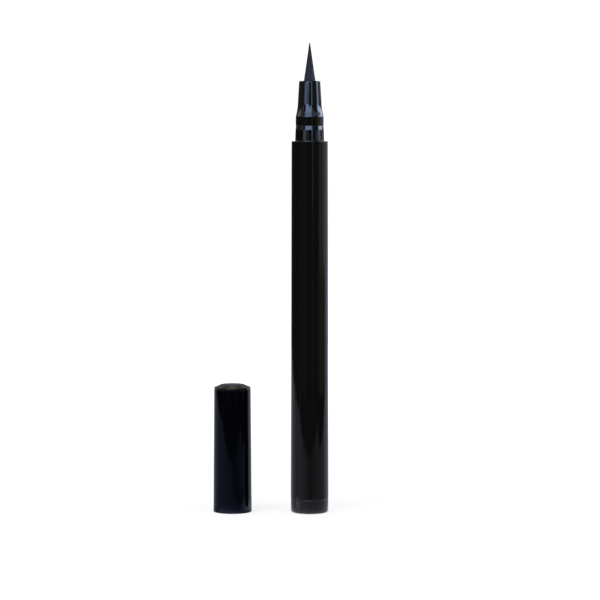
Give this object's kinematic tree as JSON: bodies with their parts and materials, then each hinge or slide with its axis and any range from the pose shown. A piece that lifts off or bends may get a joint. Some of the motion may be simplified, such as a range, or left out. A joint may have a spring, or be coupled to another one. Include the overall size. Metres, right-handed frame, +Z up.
{
  "type": "liquid eyeliner pen",
  "caption": "Slim liquid eyeliner pen with a pointed brush tip, an ink tank, a comb collector that feeds the brush, and a push-fit cap with a sprung inner cap.",
  "frame": {"origin": "where the pen's axis meets the surface that it stands on, the middle of the tail plug's flat bottom", "axes": "+Z up along the pen's axis towards the brush tip, the cap stands on the -X side, +Y points away from the picture's camera"},
  "size_m": [0.0323, 0.0114, 0.1313],
  "materials": {
    "barrel_gloss": "gloss black moulded plastic",
    "plug_satin": "satin dark grey moulded plastic",
    "seal_rubber": "matte black rubber",
    "section_gloss": "high-gloss black moulded plastic",
    "brush_fibre": "fine dark filaments, damp",
    "collar_plastic": "matte dark plastic",
    "core_fibre": "bonded fibre rod",
    "collector_plastic": "matte natural plastic",
    "bush_plastic": "matte natural plastic",
    "ball_steel": "polished stainless steel",
    "cap_gloss": "gloss blue-black moulded plastic",
    "cap_top_gloss": "gloss dark moulded plastic",
    "liner_plastic": "soft milky plastic",
    "spring_steel": "drawn spring wire"
  },
  "bodies": {
    "pen": {"barrel": "barrel_gloss", "tail_plug": "plug_satin", "tail_seal_ring": "seal_rubber", "section": "section_gloss", "section_seal_ring": "seal_rubber", "brush_nib": "brush_fibre", "brush_collar": "collar_plastic", "feed_core": "core_fibre", "collector": "collector_plastic", "tank_bush": "bush_plastic"},
    "cap": {"cap_shell": "cap_gloss", "cap_top": "cap_top_gloss", "inner_cap_spring": "spring_steel"},
    "liner": {"inner_cap": "liner_plastic"},
    "ball": {"mixing_ball": "ball_steel"}
  },
  "joints": [
    {"name": "cap_lift", "type": "slide", "parent": "pen", "child": "cap", "axis": [0, 0, 1], "range_m": [0, 0.136]},
    {"name": "inner_cap_travel", "type": "slide", "parent": "cap", "child": "liner", "axis": [0, 0, 1], "range_m": [0, 0.0015], "stiffness_N_per_m": 300, "springref_m": -0.002, "deforming": ["inner_cap_spring"]},
    {"name": "ball_travel", "type": "slide", "parent": "pen", "child": "ball", "axis": [0, 0, 1], "range_m": [0, 0.0665]}
  ]
}
